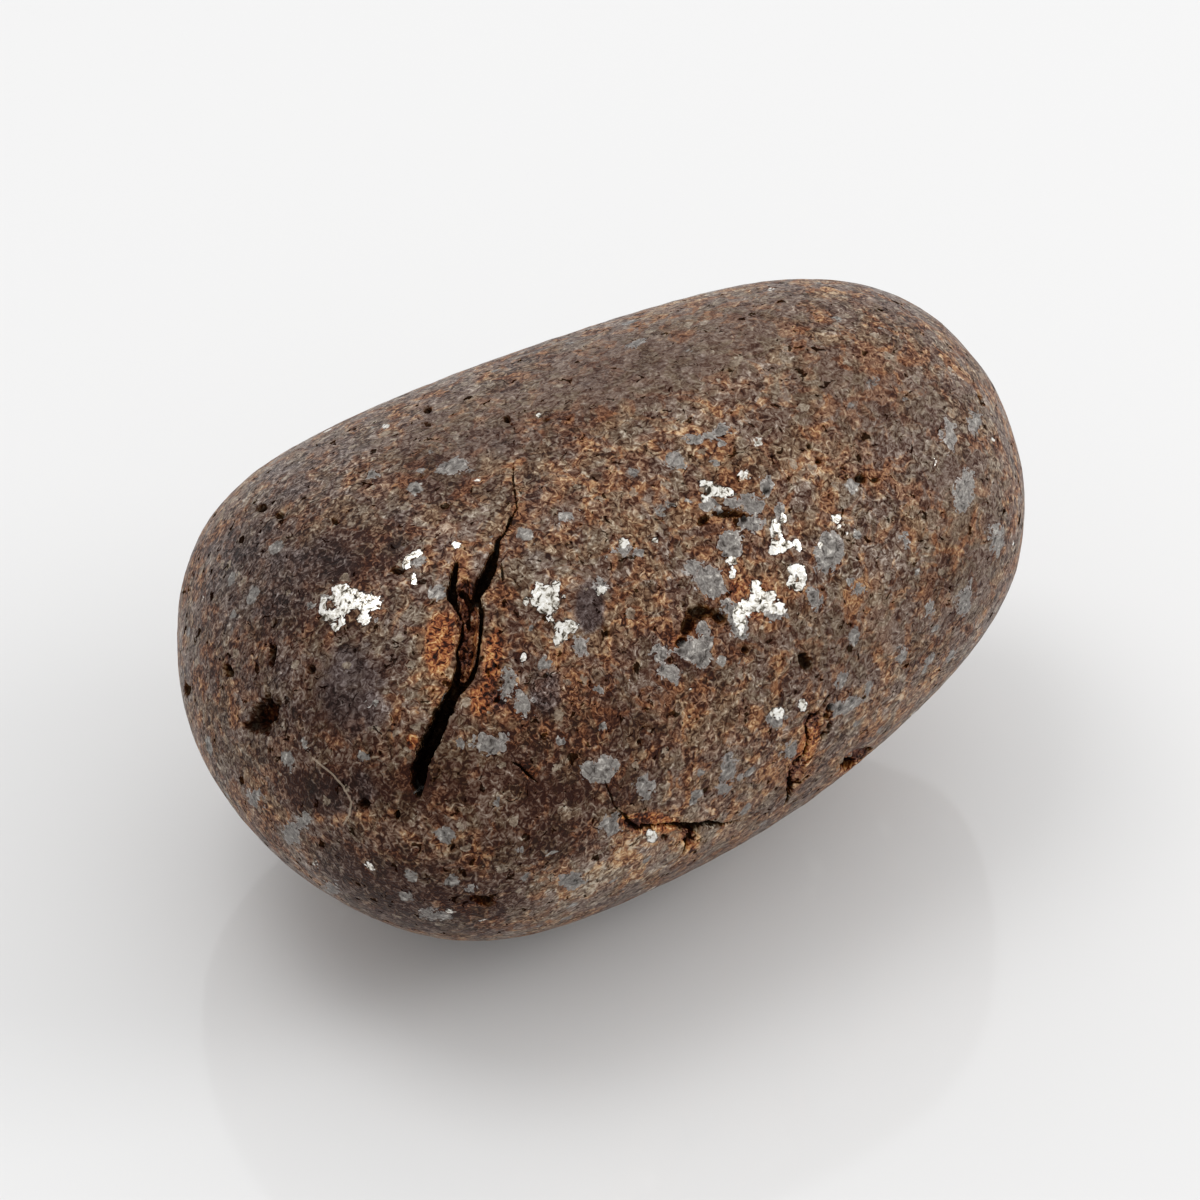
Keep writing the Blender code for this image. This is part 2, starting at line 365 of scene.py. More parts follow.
def seen_ovals(rows):
    """For each row that meets the stone, its oval and what the row says besides."""
    found = []
    for across, down, half_length, half_width, lean, *more in rows:
        mark = picture_mark(across, down)
        if mark is not None:
            found.append((oval(mark, half_length, half_width, lean), *more))
    return found


pits = seen_ovals(PITS)
for along, turn, length, width, lean, depth in HIDDEN_PITS:
    halves = (length / 2 / POINT_SIZE, width / 2 / POINT_SIZE)
    pits.append((oval(turned_mark(along, turn), *halves, lean), depth))
print("pits:", len(pits))

# %% [markdown]
# Metal grains.
#
# The stone is peppered with grains of iron and nickel, 0.2 to 1.5 mm across, listed in two kinds. The bright
# grains are painted nearly white, a painted glint of the lamp in the polished metal. The grey grains are
# partly tarnished and partly the same metal painted in shade. Each is a cluster of lobes with a ragged edge,
# because the metal filled the gaps between round mineral grains. A grain is given here as a few overlapping
# ovals, and the material adds the ragged edge.

# %% Lobes of the metal: across, down, half length, half width in picture points, lean in degrees
# Bright lobes: the metal painted nearly white, a painted glint of the lamp.
BRIGHT_LOBES = (
    (352, 600, 22, 9, 4), (340, 592, 8, 9, 0), (348, 598, 13, 9, 0), (356, 602, 14, 7, 0),
    (323, 605, 3.5, 7, 10), (330, 616, 8, 5, 0), (343, 609, 9, 5, -8), (369, 604, 12, 7, -20),
    (364, 617, 6, 6, 0), (336, 628, 3.5, 2.5, 0), (341, 621, 3, 4, 0), (413, 555, 9, 3, -20),
    (407, 562, 3.5, 7, 15), (414, 579, 2.5, 5, 0), (456, 544, 4, 3, 0), (546, 598, 14, 10, 0),
    (539, 588, 4, 5, 0), (557, 586, 3, 5, 0), (546, 607, 9, 6, 0), (526, 601, 2.8, 3.8, 0),
    (564, 597, 2, 2.8, 0), (551, 620, 2.2, 3, 0), (568, 626, 9, 6, 0), (557, 640, 3, 7, 0),
    (562, 637, 5, 4, -40), (524, 658, 2.6, 5.5, 20), (602, 590, 5, 4, 0), (623, 543, 5, 4, 20),
    (605, 557, 2, 2, 0), (707, 484, 6, 3.5, 10), (719, 491, 14, 5.5, 8), (705, 498, 3.5, 3, -30),
    (784, 518, 3.5, 4, 0), (774, 527, 3, 8, 0), (780, 532, 2, 7, -10), (779, 546, 7, 6, 0),
    (788, 545, 4, 3.5, 0), (775, 551, 4, 4, 0), (836, 518, 4.5, 5, 40), (839, 527, 2, 2.2, 0),
    (797, 569, 7, 5, 0), (803, 577, 3, 8, 0), (792, 580, 3, 6, 20), (797, 587, 5, 4, 0),
    (761, 601, 13, 9, 20), (756, 586, 5, 5, 0), (772, 596, 4, 5, 0), (746, 607, 7, 6, 0),
    (740, 618, 5, 9, -10), (777, 609, 8, 6, 10), (731, 561, 5, 4, 0), (733, 573, 3, 5, 0),
    (742, 634, 2, 2, 0), (803, 705, 4, 4.5, 0), (778, 714, 6, 6, -40), (652, 837, 4.5, 5, 0),
    (538, 415, 2.6, 2, 0), (655, 541, 3, 2.5, 0), (820, 545, 2.5, 3, 0), (798, 545, 2.5, 6, -20),
    (416, 793, 2.5, 2, 0),
)
# Grey lobes: partly tarnished metal, partly the same metal painted in shade.
GREY_LOBES = (
    (693, 439, 7, 4, 0), (708, 436, 12, 4, -8), (721, 431, 9, 6, -20), (720, 443, 6, 4, 0),
    (677, 458, 6, 6, 0), (682, 466, 4, 4, 0), (714, 505, 10, 6, 0), (731, 503, 12, 6, 0),
    (748, 500, 9, 7, 0), (752, 509, 8, 7, 0), (752, 523, 12, 8, 0), (743, 522, 7, 5, 0),
    (766, 484, 6, 9, 0), (730, 544, 12, 14, 0), (780, 510, 5, 8, 20), (829, 552, 14, 20, 8),
    (709, 579, 15, 14, 0), (693, 566, 10, 8, 0), (714, 590, 10, 9, 0), (727, 604, 6, 11, 0),
    (738, 618, 9, 15, -15), (741, 632, 8, 9, 0), (775, 615, 11, 8, 20), (815, 599, 7, 9, -15),
    (703, 630, 7, 7, 0), (696, 650, 16, 11, -10), (706, 660, 8, 9, 0), (661, 653, 8, 9, 0),
    (670, 673, 11, 8, 20), (581, 644, 6, 10, 0), (509, 684, 6, 15, 8), (519, 694, 5, 4, 30),
    (525, 706, 10, 10, 0), (489, 746, 16, 8, 0), (483, 737, 2.5, 4, 0), (503, 737, 5, 4, 0),
    (474, 740, 2, 5, 0), (598, 772, 15, 12, 0), (607, 764, 8, 6, 0), (645, 787, 10, 9, 0),
    (648, 797, 4, 5, 0), (728, 770, 7, 12, 10), (738, 777, 7, 4, -30), (723, 788, 5, 5, 0),
    (610, 826, 10, 9, 0), (572, 882, 11, 8, 0), (965, 490, 9, 20, 12), (998, 540, 7, 14, 0),
    (950, 435, 7, 13, 0), (975, 420, 6, 9, 0), (965, 600, 6, 16, 10), (849, 705, 14, 6, -30),
    (839, 710, 8, 5, 0), (868, 689, 2.5, 8, 20), (843, 680, 4, 7, 20), (790, 751, 6, 9, 30),
    (455, 466, 11, 7, -10), (566, 516, 8, 5, 0), (635, 343, 10, 3, -12), (372, 474, 5, 4, 0),
    (291, 833, 9, 11, 0), (302, 822, 7, 7, 0), (253, 798, 6, 9, -30), (431, 916, 10, 5, 10),
    (337, 594, 5, 8, 0), (324, 596, 4, 3, 0), (376, 621, 3, 2.5, 0), (310, 605, 3.5, 3.5, 0),
    (688, 500, 4, 3, 0), (623, 549, 8, 5, 0), (602, 584, 7, 5, 0), (777, 720, 9, 7, 0),
    (640, 553, 4, 3, 0), (760, 505, 5, 4, 0), (902, 655, 5, 8, 30), (930, 610, 4, 7, 20),
    (860, 590, 6, 5, 0), (905, 540, 4, 6, 0), (600, 690, 5, 4, 0), (560, 740, 5, 4, 0),
    (420, 470, 4, 3, 0), (330, 890, 7, 4, 20), (520, 850, 5, 4, 0), (470, 890, 5, 4, 0),
)
# Crumbled, sunk stone between the two branches of the large crack: the same, and the depth in mm.
RUBBLE = (
    (466, 592, 11, 16, 0, 0.30), (468, 618, 13, 26, 0, 0.36), (467, 650, 11, 26, 5, 0.34),
    (462, 676, 9, 14, 10, 0.40), (497, 700, 9, 14, -30, 0.10), (640, 826, 16, 7, 5, 0.12),
    (690, 838, 10, 9, 0, 0.22), (796, 775, 8, 22, 22, 0.16), (813, 722, 8, 12, 40, 0.12),
    (262, 716, 16, 10, -60, 0.12), (856, 760, 20, 8, -34, 0.22),
)
rubble_ovals = seen_ovals(RUBBLE)
bright_ovals = [lobe for lobe, in seen_ovals(BRIGHT_LOBES)]
grey_ovals = [lobe for lobe, in seen_ovals(GREY_LOBES)]
print("lobes seen: bright", len(bright_ovals), "grey", len(grey_ovals))

# %% Grains on the sides that the camera doesn't see, from a fixed seed
draw = random.Random(41)
HIDDEN_GRAINS = 46
HIDDEN_SIZES = (4, 13)
FARTHEST = 13.2
FACING = 0.05
BRIGHT_SHARE = 0.3
seen_from = np.array(to_camera)
made = 0
while made < HIDDEN_GRAINS:
    along = draw.uniform(-FARTHEST, FARTHEST)
    turn = draw.uniform(0, 360)
    mark = turned_mark(along, turn)
    if mark[1] @ seen_from > FACING:
        continue
    made += 1
    ovals = bright_ovals if draw.random() < BRIGHT_SHARE else grey_ovals
    size = draw.uniform(*HIDDEN_SIZES)
    for _ in range(draw.randint(1, 4)):
        shift = mark[2] * draw.uniform(-1, 1) * size + mark[3] * draw.uniform(-1, 1) * size
        lobe_mark = (mark[0] + shift, *mark[1:])
        half_length = size * draw.uniform(0.5, 1.1)
        half_width = half_length * draw.uniform(0.5, 0.9)
        ovals.append(oval(lobe_mark, half_length, half_width, draw.uniform(0, 180)))
print("lobes in all: bright", len(bright_ovals), "grey", len(grey_ovals))

# %% [markdown]
# Zones of colour.
#
# Rust has crept out of the cracks and stained the stone round them orange. On the left the stone is slate
# grey, where iron sulphide runs through it. The stone is also made darker in broad patches, most of all on
# the left and low down near the floor: that is painted shade. It is made lighter in broad patches, most of
# all on the shoulder to the right and along the top: that is painted light. On the high shoulder and the
# right end the grains are muted as a sheen would wash them out: that is painted sheen, and a few even slate
# patches are muted the same way. All of these are broad, soft-edged zones, given as ovals too.

# %% Zones: across, down, half length, half width in picture points, lean, strength
ZONES = {
    "rust_zone": (
        (440, 640, 22, 48, 5, 1.0), (468, 640, 14, 60, 5, 1.0), (493, 660, 14, 55, 8, 0.9),
        (480, 700, 16, 26, 10, 0.9), (411, 741, 9, 12, 0, 1.0), (436, 700, 12, 14, 0, 0.5),
        (463, 570, 12, 30, 0, 0.7), (528, 770, 16, 12, 40, 0.8), (652, 824, 46, 15, 4, 1.0),
        (692, 842, 14, 16, 0, 1.0), (806, 752, 13, 50, 24, 0.95), (740, 515, 40, 14, 0, 0.6),
        (700, 625, 50, 30, 0, 0.5), (515, 490, 10, 60, 0, 0.4), (735, 587, 10, 10, 0, 0.9),
        (676, 640, 14, 12, 0, 0.8), (740, 655, 18, 12, 0, 0.7), (820, 450, 50, 30, 0, 0.6),
        (770, 455, 30, 16, 0, 0.6), (880, 360, 40, 24, 20, 0.4), (320, 455, 30, 14, -30, 0.5),
        (610, 420, 40, 16, -20, 0.35), (420, 850, 60, 30, 20, 0.3), (850, 768, 26, 7, -32, 0.8),
        (560, 720, 60, 50, 0, 0.45), (700, 720, 60, 40, 0, 0.4), (370, 740, 40, 30, 0, 0.4),
        (755, 598, 50, 40, 0, 0.8), (620, 620, 40, 30, 0, 0.6), (735, 500, 55, 42, 0, 0.6),
    ),
    "slate_zone": (
        (350, 690, 46, 60, 0, 1.0), (325, 560, 40, 34, 0, 0.8), (395, 640, 22, 50, 0, 0.6),
        (590, 606, 18, 30, 0, 1.4), (545, 690, 22, 28, 0, 0.8), (340, 790, 46, 34, 0, 0.7),
        (640, 370, 90, 26, -18, 0.5), (480, 440, 50, 30, -20, 0.5), (540, 560, 26, 20, 0, 0.5),
        (820, 620, 20, 20, 0, 0.4), (250, 570, 70, 80, 0, 0.75), (310, 470, 90, 36, -25, 0.65),
        (280, 700, 70, 70, 0, 0.6), (320, 850, 60, 50, 30, 0.3), (410, 530, 50, 40, 0, 0.5),
        (520, 490, 50, 32, 0, 0.4),
    ),
    # Painted shade: the stone darkened in broad patches, most of all on the left and low down near the
    # floor.
    "painted_shade_zone": (
        (270, 610, 120, 110, 0, 0.55), (320, 750, 90, 60, 0, 1.1), (420, 785, 70, 36, 0, 1.3),
        (575, 785, 70, 26, -10, 1.5), (410, 905, 110, 40, 14, 1.8), (470, 850, 70, 36, 10, 0.6),
        (575, 740, 100, 60, 0, 1.3), (355, 548, 70, 40, -15, 1.4), (540, 430, 80, 30, -15, 0.3),
        (692, 658, 52, 48, 0, 0.85), (450, 745, 50, 50, 0, 0.3), (318, 788, 55, 28, 0, 2.1),
        (440, 480, 45, 36, 0, 0.75), (505, 665, 42, 55, 0, 0.6), (560, 838, 46, 30, 0, 1.2),
        (620, 785, 40, 28, 0, 1.2), (575, 425, 70, 30, -15, 0.5),
    ),
    # Painted light: the stone lightened in broad patches, most of all on the shoulder to the right and along
    # the top.
    "painted_light_zone": (
        (700, 395, 120, 45, -15, 0.9), (850, 500, 95, 60, 0, 0.8), (600, 560, 50, 40, 0, 0.6),
        (840, 620, 80, 60, 0, 0.5), (880, 700, 70, 34, -35, 0.7), (770, 590, 40, 30, 0, 0.6),
        (980, 540, 30, 60, 0, 0.5), (700, 422, 55, 26, 0, 1.6), (922, 545, 32, 32, 0, 1.4),
        (640, 862, 120, 24, -22, 2.4), (320, 660, 34, 28, 0, 1.5), (385, 720, 26, 26, 0, 1.0),
    ),
    # Painted sheen: grains muted, most of all on the high shoulder and the right end; a few patches
    # elsewhere are the stone's own even colour.
    "smooth_and_sheen_zone": (
        (660, 350, 170, 50, -18, 1.0), (480, 430, 110, 46, -22, 0.7), (860, 390, 110, 60, 20, 0.6),
        (960, 540, 60, 110, 0, 0.6), (760, 620, 60, 40, 0, 0.3), (860, 640, 80, 50, -30, 0.5),
        (590, 606, 22, 34, 0, 0.9), (345, 690, 46, 60, 0, 0.6), (640, 700, 50, 40, 0, 0.4),
    ),
}
zones = {name: seen_ovals(rows) for name, rows in ZONES.items()}
HIDDEN_ZONES = 30
ZONE_SIZES = (25, 70)
ZONE_STRENGTHS = (0.4, 0.9)
for _ in range(HIDDEN_ZONES):
    mark = turned_mark(draw.uniform(-13, 13), draw.uniform(0, 360))
    if mark[1] @ seen_from < 0:
        name = draw.choice(tuple(ZONES))
        size = draw.uniform(*ZONE_SIZES)
        zone = oval(mark, size, size * draw.uniform(0.5, 0.9), draw.uniform(0, 180))
        zones[name].append((zone, draw.uniform(*ZONE_STRENGTHS)))
print({name: len(rows) for name, rows in zones.items()})

# %% [markdown]
# Finer mesh where the marks are.
#
# The smooth skin has a point about every 0.16 mm. That carries the broad form, but not the wall of a crack
# that is 0.1 mm wide. Making the whole stone finer would cost millions of faces, so only the skin round the
# marks is split again with subdivide_edges, in rounds: once near metal, and twice near pits and cracks.


# %% Split the skin near the marks
BALL_SPACING = 0.15
# How far past grains, pits and cracks each round reaches, in mm.
GRAIN_MARGIN = 0.10
PIT_MARGIN = 0.15
CRACK_MARGIN = 0.30
FINE_PIT_MARGIN = 0.03
FINE_CRACK_MARGIN = 0.14
FINE_LINE_MARGIN = 0.10


def near_any(points, balls):
    """True for each point that lies inside one of the balls, given as x, y, z, radius."""
    inside = np.zeros(len(points), bool)
    for x, y, z, radius in balls:
        gap = points - (x, y, z)
        inside |= np.einsum("ij,ij->i", gap, gap) < radius * radius
    return inside


def split_near(bm, balls):
    points = np.array([vertex.co for vertex in bm.verts]) / MM
    inside = near_any(points, balls)
    bm.verts.index_update()
    edges = [edge for edge in bm.edges if inside[edge.verts[0].index] and inside[edge.verts[1].index]]
    bmesh.ops.subdivide_edges(bm, edges=edges, cuts=1, use_grid_fill=True)


def balls_along(line, margin):
    """Balls that cover a crack with a margin to each side."""
    balls = []
    for a, b in zip(line, line[1:]):
        count = max(1, math.ceil(np.linalg.norm(b[:3] - a[:3]) / BALL_SPACING))
        for i in range(count + 1):
            spot = a + (b - a) * i / count
            balls.append((*spot[:3], spot[3] + margin))
    return balls


def ball_round(mark_oval, margin):
    place, long_way, short_way, _ = mark_oval
    return (*place, max(np.linalg.norm(long_way), np.linalg.norm(short_way)) + margin)


wide_balls = [ball_round(o, GRAIN_MARGIN) for o in bright_ovals + grey_ovals]
wide_balls += [ball_round(o, PIT_MARGIN) for o, _ in pits + rubble_ovals]
for line in (*crack_lines.values(), *pale_lines):
    wide_balls += balls_along(line, CRACK_MARGIN)
split_near(bm, wide_balls)
print("after the first round:", len(bm.faces), "faces")
fine_balls = [ball_round(o, FINE_PIT_MARGIN) for o, _ in pits + rubble_ovals]
for line in crack_lines.values():
    fine_balls += balls_along(line, FINE_CRACK_MARGIN)
for line in pale_lines:
    fine_balls += balls_along(line, FINE_LINE_MARGIN)
split_near(bm, fine_balls)
print("after the second round:", len(bm.faces), "faces")
bmesh.ops.recalc_face_normals(bm, faces=bm.faces)
bm.normal_update()
bm.to_mesh(stone_mesh)
bm.free()
stone_mesh.update()
points = points_of(stone_mesh)
outward = np.empty(len(points) * 3, np.float32)
stone_mesh.vertex_normals.foreach_get("vector", outward)
outward = outward.reshape(-1, 3).astype(float)
print("points:", len(points))

# %% [markdown]
# Sinking the marks into the skin.
#
# Carving goes only inwards, because the stone already fills the solid's box. Each mark gives a depth at
# every point of the mesh, from how far the point is from the mark's line or middle, and noise makes the
# rims ragged, as torn stone is. Where marks meet, the deepest counts, and each point moves in along the
# skin's own direction. The skin also gets a faint unevenness, since minerals of different hardness wear
# at different speeds.


# %% Noise at the points of the mesh
def noise_at(places, size, seed):
    """Smooth noise from -1 to 1 whose lumps are about this many mm across."""
    shift = Vector((seed * 17.3, seed * -9.1, seed * 5.7))
    return np.array([noise.noise(Vector(place) / size + shift) for place in places])


rim_noise = noise_at(points, 0.28, 1) * 0.6 + noise_at(points, 0.11, 2) * 0.4
broad_noise = noise_at(points, 1.6, 3)
print("rim noise from", rim_noise.min().round(2), "to", rim_noise.max().round(2))


# %% How deep each point sinks
FAR = 9.0
RIM_TEAR = 0.012


def crack_depth(line, ragged):
    """How far inside the crack each point lies, and how deep the crack is there, in mm."""
    nearest = np.full(len(points), FAR)
    half = np.zeros(len(points))
    deep = np.zeros(len(points))
    for a, b in zip(line, line[1:]):
        way = b[:3] - a[:3]
        t = np.clip((points - a[:3]) @ way / (way @ way), 0, 1)
        gap = np.linalg.norm(points - a[:3] - t[:, None] * way, axis=1)
        closer = gap < nearest
        nearest = np.where(closer, gap, nearest)
        half = np.where(closer, a[3] + t * (b[3] - a[3]), half)
        deep = np.where(closer, a[4] + t * (b[4] - a[4]), deep)
    inside = half * (1 + ragged * rim_noise) + RIM_TEAR * rim_noise - nearest
    return inside, deep


def ramp(value, low_end, high_end):
    t = np.clip((value - low_end) / (high_end - low_end), 0, 1)
    return t * t * (3 - 2 * t)


# A crack's wall is this wide in mm, its rim this ragged, and points far from every mark get OUTSIDE.
WALL = 0.05
CRACK_RAGGED = 0.35
OUTSIDE = -0.5
sunk = np.zeros(len(points))
crack_inside = np.full(len(points), OUTSIDE)
for line in crack_lines.values():
    inside, deep = crack_depth(line, CRACK_RAGGED)
    sunk = np.maximum(sunk, deep * ramp(inside, -0.01, WALL))
    crack_inside = np.maximum(crack_inside, inside)
print("points in cracks:", int((crack_inside > 0).sum()))


# %% Pits and ovals
NEAR_SIZES = 2.2
NEAR_MARGIN = 0.3
PIT_RAGGED = 0.45
RUBBLE_RAGGED = 0.35
ZONE_RAGGED = 0.25


def oval_reach(mark_oval, ragged=0.0):
    """1 at an oval's middle, 0 on its rim and less outside, and which points are near it."""
    place, long_way, short_way, _ = mark_oval
    gap = points - place
    size = max(np.linalg.norm(long_way), np.linalg.norm(short_way))
    near = np.flatnonzero(np.einsum("ij,ij->i", gap, gap) < (size * NEAR_SIZES + NEAR_MARGIN) ** 2)
    steps = np.column_stack([long_way, short_way])
    flat = gap[near] @ np.linalg.pinv(steps).T
    reach = 1 - np.linalg.norm(flat, axis=1) + ragged * rim_noise[near]
    return near, reach


pit_depth = np.zeros(len(points))
pit_shade = np.zeros(len(points))
for mark_oval, depth in pits:
    near, reach = oval_reach(mark_oval, PIT_RAGGED)
    bowl = ramp(reach, 0.0, 0.7)
    pit_depth[near] = np.maximum(pit_depth[near], depth * bowl)
    pit_shade[near] = np.maximum(pit_shade[near], ramp(reach, 0.0, 0.45))
crumble_noise = noise_at(points, 0.22, 6) * 0.7 + noise_at(points, 0.10, 7) * 0.5
rubble = np.zeros(len(points))
rubble_depth = np.zeros(len(points))
for mark_oval, depth in rubble_ovals:
    near, reach = oval_reach(mark_oval, RUBBLE_RAGGED)
    shape = ramp(reach, 0.0, 0.35)
    rubble[near] = np.maximum(rubble[near], shape)
    crumbled = depth * shape * (0.75 + 1.1 * crumble_noise[near])
    rubble_depth[near] = np.maximum(rubble_depth[near], crumbled)
sunk = np.maximum(sunk, pit_depth)
sunk = np.maximum(sunk, np.clip(rubble_depth, 0, None))
print("deepest pit, mm:", pit_depth.max().round(2), "deepest rubble, mm:", rubble_depth.max().round(2))

# %% Fields for the material: how far each point lies inside the metal, and the zones
# The distance inside the smallest grains is counted as if they were this wide, so that they show.
SMALLEST_HALF = 0.16
fields = {}
for name, ovals in (("bright_metal", bright_ovals), ("grey_metal", grey_ovals)):
    field = np.full(len(points), OUTSIDE)
    for mark_oval in ovals:
        near, reach = oval_reach(mark_oval)
        field[near] = np.maximum(field[near], reach * max(mark_oval[3], SMALLEST_HALF))
    fields[name] = field
for name, rows in zones.items():
    field = np.zeros(len(points))
    for mark_oval, strength in rows:
        near, reach = oval_reach(mark_oval, ZONE_RAGGED)
        field[near] = np.maximum(field[near], strength * ramp(reach, -0.25, 0.55))
    fields[name] = field
fields["crack_inside"] = crack_inside
fields["pale_line"] = np.maximum(*[crack_depth(line, 0.0)[0] for line in pale_lines])
fields["rubble"] = rubble
fields["pit"] = pit_shade
print({name: (field.min().round(2), field.max().round(2)) for name, field in fields.items()})

# %% Move the points in
# The wear is about 0.02 mm, in lumps of 1.6, 0.55 and 0.2 mm. Metal is harder, so it wears less.
rusted = ramp(fields["rust_zone"], 0.70, 0.98)
rusted_depth = rusted * (0.03 + 0.06 * crumble_noise)
wear = 0.022 + 0.012 * broad_noise + 0.016 * noise_at(points, 0.55, 4) + 0.008 * crumble_noise
metal = np.maximum(ramp(fields["bright_metal"], -0.02, 0.03), ramp(fields["grey_metal"], -0.02, 0.03))
depth_in = sunk + np.clip(rusted_depth, 0, None) + np.clip(wear, 0, None) * (1 - 0.7 * metal)
points = points - outward * depth_in[:, None]
points[:, 2] = np.maximum(points[:, 2], 0.0)
stone_mesh.vertices.foreach_set("co", (points * MM).astype(np.float32).ravel())
for name, field in fields.items():
    attribute = stone_mesh.attributes.new(name, "FLOAT", "POINT")
    attribute.data.foreach_set("value", field.astype(np.float32))
stone_mesh.update()
stone = bpy.data.objects.new("meteorite_stone", stone_mesh)
bpy.context.scene.collection.objects.link(stone)
stone_mesh.shade_smooth()
stone_mesh.calc_loop_triangles()
print("triangles:", len(stone_mesh.loop_triangles))

# %% [markdown]
# Helpers for finishes.
#
# Every finish below is a small graph of shader nodes, made in code so that each number can be read and
# changed. One function adds a node with its settings and links. Colours are written as they look on a
# screen, and turned to the linear values that the renderer works in.


# %% Helpers for materials
def linear(hex_colour):
    """A colour written as sRGB hex, as linear red, green, blue and 1."""
    parts = [int(hex_colour[i:i + 2], 16) / 255 for i in (1, 3, 5)]
    return (*[p / 12.92 if p <= 0.04045 else ((p + 0.055) / 1.055) ** 2.4 for p in parts], 1.0)


def add_node(tree, kind, settings, inputs, stops=()):
    """A node with its settings. An input is a value, a socket, or a node (its first live output)."""
    node = tree.nodes.new(kind)
    for name, value in settings.items():
        setattr(node, name, value)
    for name, value in inputs.items():
        if isinstance(value, bpy.types.Node):
            value = next(socket for socket in value.outputs if socket.enabled)
        if isinstance(value, bpy.types.NodeSocket):
            tree.links.new(value, node.inputs[name])
        else:
            node.inputs[name].default_value = value
    for _ in stops[2:]:
        node.color_ramp.elements.new(0.5)
    for i, (position, colour) in enumerate(stops):
        node.color_ramp.elements[i].position = position
        node.color_ramp.elements[i].color = linear(colour)
    return node


MATH = "ShaderNodeMath"
MAP_RANGE = "ShaderNodeMapRange"
MULTIPLY_ADD = {"operation": "MULTIPLY_ADD"}
MULTIPLY = {"operation": "MULTIPLY"}
MAXIMUM = {"operation": "MAXIMUM"}
CLAMPED_SUBTRACT = {"operation": "SUBTRACT", "use_clamp": True}
SMOOTH_STEP = {"interpolation_type": "SMOOTHSTEP"}
print("white in linear light:", linear("#ffffff")[0], "middle grey:", round(linear("#808080")[0], 3))

# %% [markdown]
# The minerals.
#
# The stone is an ordinary chondrite, weathered on the ground and then tumbled. To the eye that is a fine
# peppering of brown, tan and near-black mineral grains, 0.1 to 0.3 mm long, many of them bent like short
# worms, under a satin polish. Painting by hand could not give grains this small, so they come from noise
# read in the object's own coordinates, with its scale worked out from the grain size in millimetres. Swirl
# (the Distortion of the noise) bends the grains.

# %% The patterns, each with its size in mm, octaves, roughness and swirl
PATTERNS = {
    "grain": (0.19, 1.6, 0.70, 1.1),
    "thread": (0.34, 1.0, 0.6, 1.6),
    "cluster": (0.60, 3.0, 0.65, 0.5),
    "tint": (0.8, 3.0, 0.65, 0.6),
    "patch": (2.4, 3.0, 0.6, 0.4),
    "rust spot": (2.2, 3.0, 0.6, 0.8),
    "slate spot": (0.9, 3.0, 0.6, 0.4),
    "torn edge": (0.30, 2.0, 0.7, 0.8),
    "fine edge": (0.10, 1.0, 0.5, 0.0),
    "void": (0.34, 2.0, 0.7, 0.6),
    "metal": (0.20, 2.0, 0.75, 0.6),
}
MM_PER_M = 1000
chondrite = bpy.data.materials.new("tumbled weathered chondrite")
chondrite.use_nodes = True
tree = chondrite.node_tree
tree.nodes.clear()
place = add_node(tree, "ShaderNodeTexCoord", {}, {}).outputs["Object"]
pattern = {
    name: add_node(tree, "ShaderNodeTexNoise", {}, {
        "Vector": place, "Scale": MM_PER_M / size, "Detail": octaves, "Roughness": rough,
        "Distortion": swirl,
    })
    for name, (size, octaves, rough, swirl) in PATTERNS.items()
}
field = {
    name: add_node(tree, "ShaderNodeAttribute", {"attribute_name": name}, {}).outputs["Fac"]
    for name in fields
}
print("patterns:", len(pattern), "fields:", len(field))

# %% Dark to light from grain to grain
# Threads are the pale bent strokes: the narrow band where the noise passes through a half.
threads = add_node(tree, "ShaderNodeValToRGB", {}, {"Fac": pattern["thread"]}, (
    (0.40, "#000000"), (0.50, "#ffffff"), (0.60, "#000000"),
))
# Where sheen is painted, on the high shoulder and the right end, and on a few even slate patches, the grains
# show about half as strongly.
grain_weight = add_node(tree, MATH, MULTIPLY_ADD, {0: field["smooth_and_sheen_zone"], 1: -1.15, 2: 2.4})
centred_grain = add_node(tree, MATH, {"operation": "SUBTRACT"}, {0: pattern["grain"], 1: 0.5})
TONE_START = 0.43
# The last two weights paint shade and light into the grains: darker in the shade zone, lighter in the light
# zone.
TONE_WEIGHTS = (
    (centred_grain, 0.0, grain_weight), (threads, 0.3, 0.14), (pattern["cluster"], 0.5, 0.6),
    (pattern["patch"], 0.5, 0.5), (field["painted_shade_zone"], 0.0, -0.19), (field["painted_light_zone"], 0.0, 0.09),
)
tone = TONE_START - sum(middle * weight for _, middle, weight in TONE_WEIGHTS if middle)
for part, _, weight in TONE_WEIGHTS:
    tone = add_node(tree, MATH, MULTIPLY_ADD, {0: part, 1: weight, 2: tone})
print("nodes for the tone:", len(tree.nodes))

# %% [markdown]
# Rust, slate and plain brown.
#
# The same grains are brown over most of the stone, orange where iron has rusted, olive in places, and
# slate-grey where the stone is dark. Six colour ramps read the same tone, so the grains run on from one
# colour to the next. Broad noise and the zones carried by the mesh say which ramp shows.

# %% Colours of the minerals
TONE_STOPS = (0.00, 0.22, 0.42, 0.62, 0.82, 1.00)
MINERALS = {
    "brown": ("#2b1107", "#432719", "#563c2c", "#6b5443", "#857162", "#b0a092"),
    "orange": ("#2a0e04", "#4d260e", "#6f3f1b", "#8e5c2e", "#ae8453", "#d0ae86"),
    "olive": ("#231207", "#402a16", "#55412a", "#6d5b42", "#8b7b64", "#b5a995"),
    "slate": ("#120907", "#2a1c1a", "#3f2f2c", "#574846", "#7d6f6d", "#aea5a3"),
    "fresh rust": ("#120401", "#451a06", "#843f10", "#a86523", "#c6914f", "#e8c595"),
    # The rubble ramp is darker than the brown: partly the crumbled stone's own colour, partly painted shade
    # in the sunk rubble.
    "rubble": ("#080201", "#260d05", "#4d210d", "#773d1d", "#9a643a", "#c39872"),
}
